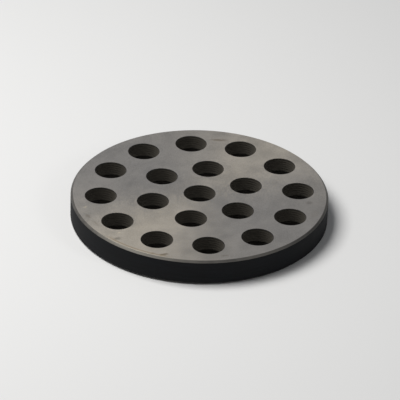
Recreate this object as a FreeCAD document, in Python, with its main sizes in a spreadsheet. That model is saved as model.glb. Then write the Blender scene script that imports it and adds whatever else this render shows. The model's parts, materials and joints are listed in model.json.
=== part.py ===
import FreeCAD, Part
import os

import Sketcher

# Perforated distribution plate: one round slab of dense silicon carbide, pressed and sintered
# as a thick disc and then ground flat on both faces.
# Nineteen stepped holes go right through it: one at the centre, six on an inner circle and
# twelve on an outer circle. Each is a straight bore from the top face that opens into a wider
# relief on the underside.
# Frame: millimetres, +Z up, origin at the centre of the underside, the face it lies on.

NODE = "distribution_plate"
FULL_TURN = 360.0
TOUCHING = 1e-4

# Driving dimensions, in millimetres, degrees or counts: alias, value, meaning.
DIMENSIONS = [
    ("plate_diameter", 99.0, "outside diameter of the slab"),
    ("plate_thickness", 10.2, "height of the slab"),
    ("rim_chamfer", 0.8, "leg of the 45 degree chamfers round the rim"),
    ("bore_diameter", 12.0, "straight part of each hole, open at the top face"),
    ("relief_step", 1.5, "how much further out the wall of the relief lies than the bore's"),
    ("relief_depth", 4.7, "height of the relief, open at the underside"),
    ("hole_edge_break", 0.15, "leg of the small chamfer on each hole's two open edges"),
    ("rim_margin", 11.5, "from the rim in to the centres of the outer holes"),
    ("inner_circle_radius", 19.0, "from the plate's centre to those of the inner holes"),
    ("inner_hole_count", 6, "holes on the inner circle"),
    ("outer_hole_count", 12, "holes on the outer circle"),
    ("outer_circle_turn", 15.0, "angle from the first inner hole to the first outer one"),
]


def make_sheet(doc):
    """Spreadsheet with a row for each driving dimension: its meaning, then its named value."""
    sheet = doc.addObject("Spreadsheet::Sheet", "Dimensions")
    for row, (alias, value, meaning) in enumerate(DIMENSIONS, start=1):
        sheet.set(f"A{row}", meaning)
        sheet.set(f"B{row}", str(value))
        sheet.setAlias(f"B{row}", alias)
    doc.recompute()
    return sheet


def origin_feature(body, role):
    """Plane or axis of the body's own origin, found by its role."""
    return next(item for item in body.Origin.OriginFeatures if item.Role == role)


def circle_sketch(body, name, diameter, distance=None):
    """Sketch on the underside with one circle, at the origin or out along the sketch's X axis.

    diameter and distance are expressions, read from the sheet.
    """
    sketch = body.newObject("Sketcher::SketchObject", name)
    sketch.AttachmentSupport = (origin_feature(body, "XY_Plane"), [""])
    sketch.MapMode = "FlatFace"
    centre = FreeCAD.Vector(0.0 if distance is None else 1.0, 0.0, 0.0)
    circle = sketch.addGeometry(Part.Circle(centre, FreeCAD.Vector(0.0, 0.0, 1.0), 1.0), False)
    width = sketch.addConstraint(Sketcher.Constraint("Diameter", circle, 2.0))
    sketch.setExpression(f"Constraints[{width}]", diameter)
    if distance is None:
        sketch.addConstraint(Sketcher.Constraint("Coincident", circle, 3, -1, 1))
    else:
        sketch.addConstraint(Sketcher.Constraint("PointOnObject", circle, 3, -1))
        place = sketch.addConstraint(Sketcher.Constraint("DistanceX", -1, 1, circle, 3, 1.0))
        sketch.setExpression(f"Constraints[{place}]", distance)
    return sketch


def round_edges(feature, radius=None, height=None):
    """Names of the feature's circular edges, or only those of one radius at one height."""
    names = []
    for number, edge in enumerate(feature.Shape.Edges, start=1):
        if not isinstance(edge.Curve, Part.Circle):
            continue
        right_radius = radius is None or abs(edge.Curve.Radius - radius) < TOUCHING
        right_height = height is None or abs(edge.Curve.Center.z - height) < TOUCHING
        if right_radius and right_height:
            names.append(f"Edge{number}")
    return names


def add_chamfer(doc, body, name, base, edges, leg):
    """45 degree chamfer with the given leg on the named edges of the base feature."""
    chamfer = body.newObject("PartDesign::Chamfer", name)
    chamfer.Base = (base, edges)
    chamfer.setExpression("Size", leg)
    doc.recompute()
    return chamfer


def add_slab(doc, body):
    """Round slab standing on the XY plane, with both rims chamfered."""
    outline = circle_sketch(body, "slab_outline", "Dimensions.plate_diameter")
    slab = body.newObject("PartDesign::Pad", "slab")
    slab.Profile = outline
    slab.setExpression("Length", "Dimensions.plate_thickness")
    doc.recompute()
    return add_chamfer(doc, body, "rim_chamfers", slab, round_edges(slab), "Dimensions.rim_chamfer")


def add_hole(doc, body, name, distance=None, turn=None):
    """Stepped through-hole, cut upwards from the underside.

    distance is how far its centre lies from the plate's, and turn the angle from +X to it.
    """
    place = circle_sketch(body, f"{name}_place", "Dimensions.bore_diameter", distance)
    if turn is not None:
        place.AttachmentOffset = FreeCAD.Placement(
            FreeCAD.Vector(), FreeCAD.Rotation(FreeCAD.Vector(0.0, 0.0, 1.0), 1.0)
        )
        place.setExpression(".AttachmentOffset.Rotation.Angle", turn)
    doc.recompute()
    hole = body.newObject("PartDesign::Hole", name)
    hole.Profile = place
    doc.recompute()
    hole.Reversed = True
    hole.ThreadType = "None"
    hole.DepthType = "ThroughAll"
    hole.DrillPoint = "Flat"
    hole.HoleCutType = "Counterbore"
    hole.HoleCutCustomValues = True
    hole.setExpression("Diameter", "Dimensions.bore_diameter")
    hole.setExpression("HoleCutDiameter", "Dimensions.bore_diameter + 2 * Dimensions.relief_step")
    hole.setExpression("HoleCutDepth", "Dimensions.relief_depth")
    doc.recompute()
    return hole


def repeat_round(doc, body, name, hole, count):
    """Full circle of equal holes about the plate's axis."""
    pattern = body.newObject("PartDesign::PolarPattern", name)
    pattern.Originals = [hole]
    pattern.Axis = (origin_feature(body, "Z_Axis"), [""])
    pattern.Angle = FULL_TURN
    pattern.setExpression("Occurrences", count)
    body.Tip = pattern
    doc.recompute()
    return pattern


def break_hole_edges(doc, body, sheet, drilled):
    """Small chamfer on the open edge of every bore and of every relief."""
    bore = sheet.bore_diameter / 2
    edges = round_edges(drilled, bore, sheet.plate_thickness)
    edges += round_edges(drilled, bore + sheet.relief_step, 0.0)
    return add_chamfer(doc, body, "hole_edges", drilled, edges, "Dimensions.hole_edge_break")


def make_plate(doc, sheet):
    """The whole plate as one body: slab, nineteen holes, edges."""
    body = doc.addObject("PartDesign::Body", NODE)
    body.Label = NODE
    add_slab(doc, body)
    add_hole(doc, body, "centre_hole")
    inner = add_hole(doc, body, "inner_hole", "Dimensions.inner_circle_radius")
    repeat_round(doc, body, "inner_circle", inner, "Dimensions.inner_hole_count")
    outer = add_hole(
        doc,
        body,
        "outer_hole",
        "Dimensions.plate_diameter / 2 - Dimensions.rim_margin",
        "Dimensions.outer_circle_turn",
    )
    drilled = repeat_round(doc, body, "outer_circle", outer, "Dimensions.outer_hole_count")
    body.Tip = break_hole_edges(doc, body, sheet, drilled)
    doc.recompute()
    return body


def check(doc, body):
    """Stop with a plain message if anything in the document failed or the solid isn't sound."""
    for item in doc.Objects:
        if "Invalid" in item.State or "Error" in item.State:
            raise RuntimeError(f"{item.Label} did not recompute: {item.State}")
    if body.Shape.isNull() or not body.Shape.isValid() or len(body.Shape.Solids) != 1:
        raise RuntimeError(f"{body.Label} is not one sound solid")


doc = FreeCAD.newDocument(NODE)
sheet = make_sheet(doc)
plate = make_plate(doc, sheet)
plate.Placement = FreeCAD.Placement()
doc.recompute()
check(doc, plate)
os.makedirs("parts", exist_ok=True)
plate.Shape.exportStep(f"parts/{NODE}.step")
print(f"{NODE}: {len(plate.Shape.Faces)} faces, {plate.Shape.Volume:.0f} cubic millimetres")
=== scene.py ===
import json
import math

import bpy
import numpy as np
from mathutils import Matrix, Vector
from mathutils.geometry import delaunay_2d_cdt


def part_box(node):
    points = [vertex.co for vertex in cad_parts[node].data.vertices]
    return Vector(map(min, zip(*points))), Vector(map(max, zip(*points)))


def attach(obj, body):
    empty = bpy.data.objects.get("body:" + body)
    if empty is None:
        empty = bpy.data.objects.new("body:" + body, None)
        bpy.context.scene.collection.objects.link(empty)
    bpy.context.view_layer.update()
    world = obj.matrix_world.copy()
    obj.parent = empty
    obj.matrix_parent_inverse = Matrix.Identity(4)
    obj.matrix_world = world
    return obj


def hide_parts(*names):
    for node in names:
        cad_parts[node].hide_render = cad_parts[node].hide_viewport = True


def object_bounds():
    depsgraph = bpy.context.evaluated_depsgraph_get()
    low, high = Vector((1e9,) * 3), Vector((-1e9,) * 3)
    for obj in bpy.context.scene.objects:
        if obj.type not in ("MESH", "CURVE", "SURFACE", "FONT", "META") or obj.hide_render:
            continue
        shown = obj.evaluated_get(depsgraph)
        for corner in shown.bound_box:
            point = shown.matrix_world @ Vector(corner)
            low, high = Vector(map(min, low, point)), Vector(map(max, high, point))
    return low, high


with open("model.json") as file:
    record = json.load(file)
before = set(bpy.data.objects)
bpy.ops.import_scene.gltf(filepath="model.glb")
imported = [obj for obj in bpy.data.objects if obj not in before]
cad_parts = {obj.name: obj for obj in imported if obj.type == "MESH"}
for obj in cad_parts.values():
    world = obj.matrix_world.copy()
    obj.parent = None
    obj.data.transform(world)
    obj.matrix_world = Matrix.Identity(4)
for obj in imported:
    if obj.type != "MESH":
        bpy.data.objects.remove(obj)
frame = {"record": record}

cad_low, cad_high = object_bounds()
MM = 0.001

# Camera
# A long lens well over a metre away, looking down on the plate at 31 degrees and tilted by
# less than two. It aims at the top face, just in front of the plate's centre.
CAMERA_AZIMUTH = math.radians(-20.955)
CAMERA_ELEVATION = math.radians(30.943)
CAMERA_ROLL = math.radians(1.732)
CAMERA_DISTANCE = 1357.5 * MM
CAMERA_AIM = Vector((-1.556 * MM, -4.720 * MM, cad_high.z))
SENSOR_MM = 36.0
LENS_MM = 319.33


def aimed(aim, azimuth, elevation, distance, roll=0.0):
    """Matrix that points a camera or lamp at aim from a distance; azimuth 0 looks along +Y."""
    turn = Matrix.Rotation(azimuth, 4, "Z") @ Matrix.Rotation(math.pi / 2 - elevation, 4, "X")
    back_off = Matrix.Rotation(roll, 4, "Z") @ Matrix.Translation((0.0, 0.0, distance))
    return Matrix.Translation(aim) @ turn @ back_off


camera = bpy.data.objects.new("camera", bpy.data.cameras.new("camera"))
camera.data.sensor_width = SENSOR_MM
camera.data.lens = LENS_MM
camera.matrix_world = aimed(
    CAMERA_AIM, CAMERA_AZIMUTH, CAMERA_ELEVATION, CAMERA_DISTANCE, CAMERA_ROLL
)
bpy.context.collection.objects.link(camera)
bpy.context.scene.camera = camera

# Plate
# One thick disc of silicon carbide, pressed, bored and fired, then ground: both faces flat, the
# rim with a small chamfer above and below. Its nineteen holes open into wider reliefs on the
# underside. Every edge is a small arc, as grinding and handling leave it.
plate_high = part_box("distribution_plate")[1]
RIM_R = plate_high.x
TOP = plate_high.z
RIM_CHAMFER = 0.8 * MM
BORE_R = 6.0 * MM
RELIEF_R = 7.5 * MM
RELIEF_DEPTH = 4.7 * MM
EDGE_BREAK = 0.15 * MM
RIM_EDGE_ARC = 0.12 * MM
HOLE_EDGE_ARC = 0.06 * MM
RELIEF_CORNER_ARC = 0.3 * MM
ARC_STEPS = 4
RIM_STEPS = 384
HOLE_STEPS = 96
FLAT_SURROUND = 1.0 * MM
FLAT_WITHIN = 0.003 * MM
MERGE_WITHIN = 1e-9
LAPPED, CHAMFERED, FIRED_AND_SHADE, BORED, RELIEVED = range(5)

hole_centres = [
    np.mean(opening["box_m"], axis=0)[:2] for opening in frame["record"]["physics"]["openings"]
]


def rounded_profile(corners, arcs):
    """Profile in (radius, height) whose inner corners are arcs, with their radii in arcs.

    An arc through a turn of angle t touches both legs at radius * tan(t / 2) from the corner.
    With n1 and n2 the directions from its centre to those two points, its points are
    centre + radius * (sin((1 - s) t) n1 + sin(s t) n2) / sin(t), for s from 0 to 1.
    One more point on each leg, half an arc's radius on, keeps the legs straight when shaded.
    """
    corners = np.array(corners)
    points = []
    for before, corner, after, radius in zip(corners, corners[1:], corners[2:], arcs):
        back = (before - corner) / np.linalg.norm(before - corner)
        on = (after - corner) / np.linalg.norm(after - corner)
        turn = math.pi - math.acos(back @ on)
        reach = radius * math.tan(turn / 2)
        first, last = corner + back * reach, corner + on * reach
        middle = (back + on) / np.linalg.norm(back + on)
        centre = corner + middle * radius / math.cos(turn / 2)
        s = np.linspace(0.0, 1.0, ARC_STEPS + 1)[:, None]
        arc = np.sin((1 - s) * turn) * (first - centre) + np.sin(s * turn) * (last - centre)
        arc = centre + arc / math.sin(turn)
        points += [first + back * radius / 2, *arc, last + on * radius / 2]
    return np.array(points)


def turned_surface(profile, axis, steps, start, outward):
    """Profile (r, z) turned about the upright axis, as points and quads.

    Point (i, j) is axis + r_j (cos a_i, sin a_i) at height z_j, with a_i = 2 pi i / steps.
    The quads are numbered from start and face away from the axis, or towards it.
    """
    angle = np.linspace(0.0, 2 * math.pi, steps, endpoint=False)[:, None]
    radius, height = profile[:, 0], profile[:, 1]
    x = axis[0] + np.cos(angle) * radius
    y = axis[1] + np.sin(angle) * radius
    points = np.stack([x, y, np.broadcast_to(height, x.shape)], axis=-1).reshape(-1, 3)
    rows = len(profile)
    here = np.arange(steps)[:, None] * rows + np.arange(rows - 1)
    beside = (here + rows) % (steps * rows)
    quads = np.stack([here, here + 1, beside + 1, beside], axis=-1).reshape(-1, 4) + start
    return points, quads if outward else quads[:, ::-1]


def flat_face(points, loops, upward):
    """Triangles of the flat region inside the first loop of points and outside the others."""
    corners = np.concatenate(loops)
    ends = np.cumsum([len(loop) for loop in loops])
    outlines = [list(range(end - len(loop), end)) for loop, end in zip(loops, ends)]
    flat = [Vector(point) for point in points[corners, :2].tolist()]
    inside_with_holes = 2
    found = delaunay_2d_cdt(flat, [], outlines, inside_with_holes, MERGE_WITHIN)
    triangles, sources = found[2], found[3]
    source = np.array([first[0] for first in sources])
    triangles = corners[source[np.array(triangles)]]
    return triangles if upward else triangles[:, ::-1]


rim_profile = rounded_profile(
    [
        (RIM_R - RIM_CHAMFER - FLAT_SURROUND, TOP),
        (RIM_R - RIM_CHAMFER, TOP),
        (RIM_R, TOP - RIM_CHAMFER),
        (RIM_R, RIM_CHAMFER),
        (RIM_R - RIM_CHAMFER, 0.0),
        (RIM_R - RIM_CHAMFER - FLAT_SURROUND, 0.0),
    ],
    [RIM_EDGE_ARC] * 4,
)
hole_profile = rounded_profile(
    [
        (BORE_R + EDGE_BREAK + FLAT_SURROUND, TOP),
        (BORE_R + EDGE_BREAK, TOP),
        (BORE_R, TOP - EDGE_BREAK),
        (BORE_R, RELIEF_DEPTH),
        (RELIEF_R, RELIEF_DEPTH),
        (RELIEF_R, EDGE_BREAK),
        (RELIEF_R + EDGE_BREAK, 0.0),
        (RELIEF_R + EDGE_BREAK + FLAT_SURROUND, 0.0),
    ],
    [HOLE_EDGE_ARC] * 3 + [RELIEF_CORNER_ARC] + [HOLE_EDGE_ARC] * 2,
)
points, rim_quads = turned_surface(rim_profile, (0.0, 0.0), RIM_STEPS, 0, True)
upper_loops = [np.arange(RIM_STEPS) * len(rim_profile)]
lower_loops = [upper_loops[0] + len(rim_profile) - 1]
hole_quads = []
for centre in hole_centres:
    start = len(points)
    hole_points, quads = turned_surface(hole_profile, centre, HOLE_STEPS, start, False)
    points = np.concatenate([points, hole_points])
    hole_quads.append(quads)
    upper_loops.append(start + np.arange(HOLE_STEPS) * len(hole_profile))
    lower_loops.append(upper_loops[-1] + len(hole_profile) - 1)
hole_quads = np.concatenate(hole_quads)
flats = np.concatenate([flat_face(points, upper_loops, True), flat_face(points, lower_loops, False)])


def finish_of_rim(quads):
    """Finish of each rim quad by where its middle lies: flat face, chamfer or outer wall."""
    middle = points[quads].mean(axis=1)
    reach = np.hypot(middle[:, 0], middle[:, 1])
    on_wall = (middle[:, 2] > RIM_CHAMFER) & (middle[:, 2] < TOP - RIM_CHAMFER)
    on_face = reach < RIM_R - RIM_CHAMFER - RIM_EDGE_ARC / 2
    return np.where(on_wall, FIRED_AND_SHADE, np.where(on_face, LAPPED, CHAMFERED))


def finish_of_hole(quads):
    """Finish of each hole quad by its middle's height: face, broken edge, bore or relief."""
    height = points[quads].mean(axis=1)[:, 2]
    on_face = (height > TOP - FLAT_WITHIN) | (height < FLAT_WITHIN)
    on_break = (height > TOP - EDGE_BREAK) | (height < EDGE_BREAK)
    drilled = np.where(height > RELIEF_DEPTH, BORED, RELIEVED)
    # The broken edges of the holes get the near-black fired finish as painted shade.
    return np.where(on_face, LAPPED, np.where(on_break, FIRED_AND_SHADE, drilled))


mesh = bpy.data.meshes.new("plate")
mesh.from_pydata(points, [], rim_quads.tolist() + hole_quads.tolist() + flats.tolist())
finishes = [finish_of_rim(rim_quads), finish_of_hole(hole_quads), np.full(len(flats), LAPPED)]
finishes = np.concatenate(finishes)
turned = np.arange(len(finishes)) < len(rim_quads) + len(hole_quads)
mesh.polygons.foreach_set("material_index", finishes)
mesh.polygons.foreach_set("use_smooth", turned)
mesh.update()
plate = bpy.data.objects.new("plate", mesh)
bpy.context.collection.objects.link(plate)
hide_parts("distribution_plate")
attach(plate, "root")

CARBIDE_IOR = 2.65
NOISE_LOW, NOISE_HIGH = 0.3, 0.7
SPOT_CORE = 0.3


def linear(hex_colour):
    """Linear RGBA of an sRGB colour written as #rrggbb."""
    srgb = [int(hex_colour[place:place + 2], 16) / 255 for place in (1, 3, 5)]
    return [c / 12.92 if c <= 0.04045 else ((c + 0.055) / 1.055) ** 2.4 for c in srgb] + [1.0]


def add(tree, kind, settings=None, inputs=None):
    """Adds a node, sets its properties, and sets or links each input given by name or number."""
    made = tree.nodes.new(kind)
    for name, value in (settings or {}).items():
        setattr(made, name, value)
    for name, value in (inputs or {}).items():
        if isinstance(value, bpy.types.NodeSocket):
            tree.links.new(value, made.inputs[name])
        else:
            made.inputs[name].default_value = value
    return made


def new_material(name):
    """Empty node material, its principled shader, and object coordinates counted in mm."""
    material = bpy.data.materials.new(name)
    material.use_nodes = True
    tree = material.node_tree
    shader = tree.nodes["Principled BSDF"]
    place = add(tree, "ShaderNodeTexCoord").outputs["Object"]
    in_mm = add(tree, "ShaderNodeVectorMath", {"operation": "SCALE"}, {0: place, "Scale": 1 / MM})
    return material, tree, shader, in_mm.outputs[0]


def set_carbide(tree, shader, face, gloss, roughness, height, depth_mm, level, shine, bump=0.5):
    """Sets what every finish of the silicon carbide has: colour, roughness, relief and shine.

    face is the colour. The roughness runs between its two values as the pattern gloss goes from
    0.3 to 0.7, where most of a noise lies. The pattern height is raised by depth_mm, and shows
    at the strength bump. level is how much the surface mirrors, and shine the tint of that.
    """
    tree.links.new(face, shader.inputs["Base Color"])
    gloss = add(tree, "ShaderNodeMapRange", None, {
        "Value": gloss,
        "From Min": NOISE_LOW,
        "From Max": NOISE_HIGH,
        "To Min": roughness[0],
        "To Max": roughness[1],
    })
    tree.links.new(gloss.outputs[0], shader.inputs["Roughness"])
    relief = add(tree, "ShaderNodeBump", None, {
        "Strength": bump,
        "Distance": depth_mm * MM,
        "Height": height,
    })
    tree.links.new(relief.outputs[0], shader.inputs["Normal"])
    shader.inputs["IOR"].default_value = CARBIDE_IOR
    shader.inputs["Specular IOR Level"].default_value = level
    shader.inputs["Specular Tint"].default_value = linear(shine)


def blotch(tree, in_mm, centre, size, angle):
    """Soft oval spot on the face: 1 in its middle, 0 outside it.

    With q the place turned by angle about the centre and divided by the two half sizes in mm,
    the value falls smoothly from 1 to 0 as the length of (q_x, q_y) goes from 0.3 to 1.
    """
    local = add(tree, "ShaderNodeMapping", {"vector_type": "TEXTURE"}, {
        "Vector": in_mm,
        "Location": (centre[0], centre[1], 0.0),
        "Rotation": (0.0, 0.0, math.radians(angle)),
        "Scale": (size[0], size[1], 1.0),
    })
    level = add(tree, "ShaderNodeVectorMath", {"operation": "MULTIPLY"}, {
        0: local.outputs[0],
        1: (1.0, 1.0, 0.0),
    })
    reach = add(tree, "ShaderNodeVectorMath", {"operation": "LENGTH"}, {0: level.outputs[0]})
    return add(tree, "ShaderNodeMapRange", {"interpolation_type": "SMOOTHSTEP"}, {
        "Value": reach.outputs["Value"],
        "From Min": SPOT_CORE,
        "From Max": 1.0,
        "To Min": 1.0,
        "To Max": 0.0,
    }).outputs[0]


# Lapped silicon carbide, on both faces: a warm grey satin with faint rings left by the lap, soft
# clouds in the tone, and the brown stains, grey smudges and pale specks that handling has left on
# the upper face. A pale line at the front left of the rim is a painted highlight, and a broad faint
# grey patch over the right of the face is painted shade. Carbide mirrors far more than glass, so a
# ground face shines like dull metal.
# The rings spread the shine across themselves, so it lies on the face as two fans. The fans are
# turned a little, because the lap's marks don't run quite round.
# The real rings are a few hundredths of a millimetre apart, and the real grain is as fine. Both
# are drawn 10 to 20 times coarser, so that they show.
LAPPED_DARK, LAPPED_LIGHT = "#636467", "#7a7a7c"
LAPPED_TONES = (1.75, 2.55)
FACE_LEVEL, MARKED_LEVEL = 0.5, 0.25
WARM_SHINE = "#fff1d4"
LAP_SPREAD = 0.54
LAP_SLANT = math.radians(7.0)
LAP_WANDER_MM = 55.0
CLOUD_MM, MOTTLE_MM, GRAIN_MM = 24.0, 6.0, 0.46
MOTTLE_SHARE, GRAIN_SHARE, FINE_SHARE = 0.8, 4.0, 0.5
RING_MM, RING_LENGTH_MM = 0.8, 30.0
FRAY_MM, FRAYS_PER_MM = 1.6, 1.2
# Each spot: centre and half sizes in mm, turn in degrees, strength.
STAIN_BROWN = "#3a2f22"
STAINS = [
    ((-46.1, -3.1), (2.2, 1.1), -82.0, 0.4),
    ((-45.0, -9.0), (3.5, 0.8), -75.0, 0.25),
    ((-42.2, -20.6), (2.2, 0.8), -45.0, 0.2),
    ((-31.6, -35.6), (1.5, 0.6), -25.0, 0.5),
    ((-27.9, -37.7), (2.4, 1.0), -3.0, 0.8),
    ((-6.5, -45.4), (1.8, 0.5), -12.0, 0.5),
    ((36.5, -28.0), (5.0, 2.0), 50.0, 0.12),
    ((21.2, 36.2), (4.5, 1.1), -22.0, 0.6),
]
SMUDGE_AND_SHADE_GREY = "#39393b"
SMUDGES_AND_SHADE = [
    ((-40.8, -21.8), (1.9, 1.4), 0.0, 0.6),
    ((37.6, -19.4), (1.9, 1.7), 20.0, 0.4),
    # The last, broad one is no smudge: it is painted shade, a faint darkening over the right of the
    # face where its sheen is dim.
    ((36.0, -18.0), (14.0, 20.0), -21.0, 0.12),
]
PALE_SPECK = "#c9bfa4"
SPECKS = [((-45.1, 3.7), (0.9, 0.7), 0.0, 0.4), ((-38.8, -18.0), (0.8, 0.5), 30.0, 0.3)]
# Each line along the rim: colour, radius and half width in mm, strength. The brown one is a stain;
# the pale one, at the face's outer edge, is a painted highlight.
RIM_STAIN_AND_HIGHLIGHT_LINES = [("#5a4424", 47.75, 0.6, 0.6), ("#c9b98c", 48.6, 0.3, 0.15)]
RIM_LINE_MIDDLE = math.radians(-140.0)
RIM_LINE_HALF = math.radians(18.0)
RIM_LINE_FULL = 0.7

lapped, tree, shader, in_mm = new_material("lapped silicon carbide")
flat = add(tree, "ShaderNodeVectorMath", {"operation": "MULTIPLY"}, {
    0: in_mm,
    1: (1.0, 1.0, 0.0),
}).outputs[0]
reach = add(tree, "ShaderNodeVectorMath", {"operation": "LENGTH"}, {0: flat}).outputs["Value"]
outward = add(tree, "ShaderNodeVectorMath", {"operation": "NORMALIZE"}, {0: flat}).outputs[0]
parts = add(tree, "ShaderNodeSeparateXYZ", None, {0: in_mm})
clouds = add(tree, "ShaderNodeTexNoise", None, {
    "Vector": in_mm,
    "Scale": 1 / CLOUD_MM,
    "Detail": 2.0,
    "Distortion": 0.4,
}).outputs[0]
mottle = add(tree, "ShaderNodeTexNoise", None, {
    "Vector": in_mm,
    "Scale": 1 / MOTTLE_MM,
    "Detail": 3.0,
}).outputs[0]
grain = add(tree, "ShaderNodeTexNoise", None, {
    "Vector": in_mm,
    "Scale": 1 / GRAIN_MM,
    "Detail": 1.0,
})
ring_place = add(tree, "ShaderNodeCombineXYZ", None, {
    0: add(tree, "ShaderNodeMath", {"operation": "DIVIDE"}, {0: reach, 1: RING_MM}).outputs[0],
    1: add(tree, "ShaderNodeMath", {"operation": "DIVIDE"}, {
        0: parts.outputs["X"],
        1: RING_LENGTH_MM,
    }).outputs[0],
    2: add(tree, "ShaderNodeMath", {"operation": "DIVIDE"}, {
        0: parts.outputs["Y"],
        1: RING_LENGTH_MM,
    }).outputs[0],
}).outputs[0]
rings = add(tree, "ShaderNodeTexNoise", None, {
    "Vector": ring_place,
    "Scale": 1.0,
    "Detail": 2.0,
}).outputs[0]
fine = add(tree, "ShaderNodeMath", {"operation": "MULTIPLY_ADD"}, {
    0: grain.outputs["Fac"],
    1: GRAIN_SHARE,
    2: rings,
}).outputs[0]
coarse = add(tree, "ShaderNodeMath", {"operation": "MULTIPLY_ADD"}, {
    0: mottle,
    1: MOTTLE_SHARE,
    2: clouds,
}).outputs[0]
tone = add(tree, "ShaderNodeMath", {"operation": "MULTIPLY_ADD"}, {
    0: fine,
    1: FINE_SHARE,
    2: coarse,
}).outputs[0]
tone = add(tree, "ShaderNodeMapRange", None, {
    "Value": tone,
    "From Min": LAPPED_TONES[0],
    "From Max": LAPPED_TONES[1],
}).outputs[0]
face = add(tree, "ShaderNodeMix", {"data_type": "RGBA"}, {
    "Factor": tone,
    6: linear(LAPPED_DARK),
    7: linear(LAPPED_LIGHT),
}).outputs[2]

# The marks lie on the upper face alone, and a fine noise frays the spots' edges.
on_top = add(tree, "ShaderNodeMath", {"operation": "GREATER_THAN"}, {
    0: parts.outputs["Z"],
    1: TOP / MM / 2,
}).outputs[0]
shift = add(tree, "ShaderNodeTexNoise", None, {
    "Vector": in_mm,
    "Scale": FRAYS_PER_MM,
    "Detail": 2.0,
}).outputs["Color"]
shift = add(tree, "ShaderNodeVectorMath", {"operation": "SUBTRACT"}, {
    0: shift,
    1: (0.5, 0.5, 0.5),
}).outputs[0]
frayed = add(tree, "ShaderNodeVectorMath", {"operation": "MULTIPLY_ADD"}, {
    0: shift,
    1: (FRAY_MM, FRAY_MM, 0.0),
    2: in_mm,
}).outputs[0]
dirt_and_painted_light = []
for colour, spots in ((STAIN_BROWN, STAINS), (SMUDGE_AND_SHADE_GREY, SMUDGES_AND_SHADE), (PALE_SPECK, SPECKS)):
    for centre, size, angle, strength in spots:
        spot = add(tree, "ShaderNodeMath", {"operation": "MULTIPLY"}, {
            0: blotch(tree, frayed, centre, size, angle),
            1: strength,
        }).outputs[0]
        spot = add(tree, "ShaderNodeMath", {"operation": "MULTIPLY"}, {
            0: spot,
            1: on_top,
        }).outputs[0]
        if colour != PALE_SPECK:
            dirt_and_painted_light.append(spot)
        face = add(tree, "ShaderNodeMix", {"data_type": "RGBA"}, {
            "Factor": spot,
            6: face,
            7: linear(colour),
        }).outputs[2]
along = add(tree, "ShaderNodeVectorMath", {"operation": "DOT_PRODUCT"}, {
    0: outward,
    1: (math.cos(RIM_LINE_MIDDLE), math.sin(RIM_LINE_MIDDLE), 0.0),
}).outputs["Value"]
along = add(tree, "ShaderNodeMapRange", None, {
    "Value": along,
    "From Min": math.cos(RIM_LINE_HALF),
    "From Max": math.cos(RIM_LINE_HALF * RIM_LINE_FULL),
}).outputs[0]
along = add(tree, "ShaderNodeMath", {"operation": "MULTIPLY"}, {0: along, 1: on_top}).outputs[0]
# The brown line is a stain; the pale line is a painted highlight along the face's outer edge, kept
# to the front-left sector.
for colour, radius, half_width, strength in RIM_STAIN_AND_HIGHLIGHT_LINES:
    away = add(tree, "ShaderNodeMath", {"operation": "SUBTRACT"}, {0: reach, 1: radius}).outputs[0]
    away = add(tree, "ShaderNodeMath", {"operation": "ABSOLUTE"}, {0: away}).outputs[0]
    line = add(tree, "ShaderNodeMapRange", {"interpolation_type": "SMOOTHSTEP"}, {
        "Value": away,
        "From Max": half_width,
        "To Min": strength,
        "To Max": 0.0,
    }).outputs[0]
    line = add(tree, "ShaderNodeMath", {"operation": "MULTIPLY"}, {0: line, 1: along}).outputs[0]
    dirt_and_painted_light.append(line)
    face = add(tree, "ShaderNodeMix", {"data_type": "RGBA"}, {
        "Factor": line,
        6: face,
        7: linear(colour),
    }).outputs[2]
set_carbide(
    tree, shader, face,
    gloss=mottle, roughness=(0.44, 0.52),
    height=fine, depth_mm=0.008,
    level=FACE_LEVEL, shine=WARM_SHINE,
)

# Dirt, the painted shade patch and the painted highlight line take the shine off where they lie.
strongest_mark = dirt_and_painted_light[0]
for mark in dirt_and_painted_light[1:]:
    strongest_mark = add(tree, "ShaderNodeMath", {"operation": "MAXIMUM"}, {
        0: strongest_mark,
        1: mark,
    }).outputs[0]
level = add(tree, "ShaderNodeMapRange", None, {
    "Value": strongest_mark,
    "To Min": FACE_LEVEL,
    "To Max": MARKED_LEVEL,
}).outputs[0]
tree.links.new(level, shader.inputs["Specular IOR Level"])

# The shine spreads across the lap's marks, whose direction wanders a little from grain to grain.
wander = add(tree, "ShaderNodeVectorMath", {"operation": "SUBTRACT"}, {
    0: grain.outputs["Color"],
    1: (0.5, 0.5, 0.5),
}).outputs[0]
slanted = add(tree, "ShaderNodeVectorRotate", {"rotation_type": "Z_AXIS"}, {
    "Vector": flat,
    "Angle": LAP_SLANT,
}).outputs[0]
across = add(tree, "ShaderNodeVectorMath", {"operation": "MULTIPLY_ADD"}, {
    0: wander,
    1: (LAP_WANDER_MM, LAP_WANDER_MM, 0.0),
    2: slanted,
}).outputs[0]
tree.links.new(across, shader.inputs["Tangent"])
shader.inputs["Anisotropic"].default_value = LAP_SPREAD

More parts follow.
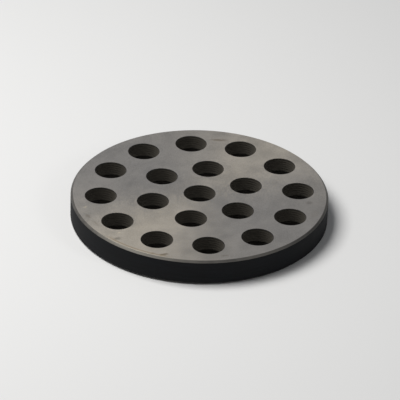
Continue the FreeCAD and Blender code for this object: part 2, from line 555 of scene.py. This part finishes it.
# Ground silicon carbide, on the two rim chamfers: darker than the faces, with fine lines round
# the rim and small nicks.
CHAMFER_DARK, CHAMFER_LIGHT = "#303031", "#403f3f"
CHAMFER_TONES = (0.6, 1.0)
CHAMFER_LINE_MM = (12.5, 12.5, 0.25)
NICK_MM = 1.8
NICK_SHARE = 0.6
chamfered, tree, shader, in_mm = new_material("ground silicon carbide chamfer")
squeezed = add(tree, "ShaderNodeVectorMath", {"operation": "DIVIDE"}, {
    0: in_mm,
    1: CHAMFER_LINE_MM,
}).outputs[0]
lines = add(tree, "ShaderNodeTexNoise", None, {
    "Vector": squeezed,
    "Scale": 1.0,
    "Detail": 2.0,
}).outputs[0]
nicks = add(tree, "ShaderNodeTexNoise", None, {
    "Vector": in_mm,
    "Scale": 1 / NICK_MM,
    "Detail": 3.0,
}).outputs[0]
tone = add(tree, "ShaderNodeMath", {"operation": "MULTIPLY_ADD"}, {
    0: nicks,
    1: NICK_SHARE,
    2: lines,
}).outputs[0]
tone = add(tree, "ShaderNodeMapRange", None, {
    "Value": tone,
    "From Min": CHAMFER_TONES[0],
    "From Max": CHAMFER_TONES[1],
}).outputs[0]
face = add(tree, "ShaderNodeMix", {"data_type": "RGBA"}, {
    "Factor": tone,
    6: linear(CHAMFER_DARK),
    7: linear(CHAMFER_LIGHT),
}).outputs[2]
set_carbide(
    tree, shader, face,
    gloss=nicks, roughness=(0.42, 0.52),
    height=tone, depth_mm=0.01,
    level=0.25, shine="#fffaed",
)

# Fired silicon carbide, on the outer wall, which no grinding reaches: as it came from the kiln, near
# black and dull, with clouds and faint streaks. The small breaks of the holes' edges take the same
# near black as painted shade.
FIRED_AND_SHADE_DARK, FIRED_AND_SHADE_LIGHT = "#0e0f11", "#181a1d"
FIRED_TONES = (0.7, 1.2)
SMOKE_MM = 9.0
STREAK_MM = (10.0, 10.0, 0.625)
FIRED_GRAIN_MM = 0.5
STREAK_SHARE, FIRED_GRAIN_SHARE = 0.6, 0.3
fired_and_shade, tree, shader, in_mm = new_material("fired silicon carbide")
smoke = add(tree, "ShaderNodeTexNoise", None, {
    "Vector": in_mm,
    "Scale": 1 / SMOKE_MM,
    "Detail": 3.0,
}).outputs[0]
squeezed = add(tree, "ShaderNodeVectorMath", {"operation": "DIVIDE"}, {
    0: in_mm,
    1: STREAK_MM,
}).outputs[0]
streaks = add(tree, "ShaderNodeTexNoise", None, {
    "Vector": squeezed,
    "Scale": 1.0,
    "Detail": 3.0,
}).outputs[0]
grain = add(tree, "ShaderNodeTexNoise", None, {
    "Vector": in_mm,
    "Scale": 1 / FIRED_GRAIN_MM,
    "Detail": 2.0,
}).outputs[0]
tone = add(tree, "ShaderNodeMath", {"operation": "MULTIPLY_ADD"}, {
    0: streaks,
    1: STREAK_SHARE,
    2: smoke,
}).outputs[0]
tone = add(tree, "ShaderNodeMath", {"operation": "MULTIPLY_ADD"}, {
    0: grain,
    1: FIRED_GRAIN_SHARE,
    2: tone,
}).outputs[0]
tone = add(tree, "ShaderNodeMapRange", None, {
    "Value": tone,
    "From Min": FIRED_TONES[0],
    "From Max": FIRED_TONES[1],
}).outputs[0]
face = add(tree, "ShaderNodeMix", {"data_type": "RGBA"}, {
    "Factor": tone,
    6: linear(FIRED_AND_SHADE_DARK),
    7: linear(FIRED_AND_SHADE_LIGHT),
}).outputs[2]
set_carbide(
    tree, shader, face,
    gloss=smoke, roughness=(0.75, 0.87),
    height=grain, depth_mm=0.02,
    level=0.04, shine="#ffffff",
)

# Bored silicon carbide, in the holes: dark brownish grey and dull, with the drill's rings. The
# wide reliefs are darker than the bores above them.
# The real rings are finer, and are drawn a few times coarser. A wave texture repeats every
# pi / 10 units at scale 1.
DRILL_RING_MM = 0.95
DRILL_GRAIN_MM = 0.5
DRILL_GRAIN_SHARE = 0.3
DRILL_TONES = (0.1, 1.2)
WAVE_PERIOD = math.pi / 10


def drilled_finish(name, dark, light, level):
    """Material of a drilled wall, with rings about the hole's axis, between two colours."""
    material, tree, shader, in_mm = new_material(name)
    rings = add(tree, "ShaderNodeTexWave", {"bands_direction": "Z"}, {
        "Vector": in_mm,
        "Scale": WAVE_PERIOD / DRILL_RING_MM,
        "Distortion": 1.0,
        "Detail": 2.0,
        "Detail Scale": 0.4,
    }).outputs["Fac"]
    grain = add(tree, "ShaderNodeTexNoise", None, {
        "Vector": in_mm,
        "Scale": 1 / DRILL_GRAIN_MM,
        "Detail": 2.0,
    }).outputs[0]
    tone = add(tree, "ShaderNodeMath", {"operation": "MULTIPLY_ADD"}, {
        0: grain,
        1: DRILL_GRAIN_SHARE,
        2: rings,
    }).outputs[0]
    tone = add(tree, "ShaderNodeMapRange", None, {
        "Value": tone,
        "From Min": DRILL_TONES[0],
        "From Max": DRILL_TONES[1],
    }).outputs[0]
    face = add(tree, "ShaderNodeMix", {"data_type": "RGBA"}, {
        "Factor": tone,
        6: linear(dark),
        7: linear(light),
    }).outputs[2]
    set_carbide(
        tree, shader, face,
        gloss=rings, roughness=(0.86, 0.97),
        height=rings, depth_mm=0.09, bump=1.0,
        level=level, shine="#fff5e5",
    )
    return material


bored = drilled_finish("bored silicon carbide", "#020202", "#2c2c28", 0.29)
relieved = drilled_finish("bored silicon carbide relief", "#0c0c0d", "#19191a", 0.17)

for finish in (lapped, chamfered, fired_and_shade, bored, relieved):
    mesh.materials.append(finish)

# Floor and light
# A plain pale floor under a large soft lamp, high up on the camera's left. A weak small lamp, low
# at the front right, lights the near edge of the rim, and an even light comes from all round.
FLOOR_HALF = 3.0
FLOOR_PALE = "#dbdddf"
FLOOR_ROUGHNESS = 0.8
floor_mesh = bpy.data.meshes.new("floor")
floor_mesh.from_pydata(
    [(x * FLOOR_HALF, y * FLOOR_HALF, 0.0) for x, y in ((-1, -1), (1, -1), (1, 1), (-1, 1))],
    [],
    [(0, 1, 2, 3)],
)
floor = bpy.data.objects.new("floor", floor_mesh)
bpy.context.collection.objects.link(floor)
floor_material, _, floor_shader, _ = new_material("pale floor")
floor_shader.inputs["Base Color"].default_value = linear(FLOOR_PALE)
floor_shader.inputs["Roughness"].default_value = FLOOR_ROUGHNESS
floor_mesh.materials.append(floor_material)

# Each lamp: name, degrees round from the camera and up, width in metres, watts.
LAMPS = [
    ("main lamp", -97.0, 63.0, 0.43, 5.9),
    ("fill lamp", 54.0, 33.0, 0.15, 0.35),
]
LAMP_DISTANCE = 0.7
LAMP_WARM = "#fffcf8"
for name, azimuth, elevation, width, watts in LAMPS:
    lamp = bpy.data.objects.new(name, bpy.data.lights.new(name, "AREA"))
    lamp.data.size = width
    lamp.data.energy = watts
    lamp.data.color = linear(LAMP_WARM)[:3]
    lamp.matrix_world = aimed(
        Vector((0.0, 0.0, TOP)),
        CAMERA_AZIMUTH + math.radians(azimuth),
        math.radians(elevation),
        LAMP_DISTANCE,
    )
    bpy.context.collection.objects.link(lamp)

WORLD_PALE = "#f4f5f7"
WORLD_STRENGTH = 0.14
world = bpy.data.worlds.new("studio")
world.use_nodes = True
background = world.node_tree.nodes["Background"]
background.inputs["Color"].default_value = linear(WORLD_PALE)
background.inputs["Strength"].default_value = WORLD_STRENGTH
bpy.context.scene.world = world
bpy.context.scene.view_settings.view_transform = "Standard"
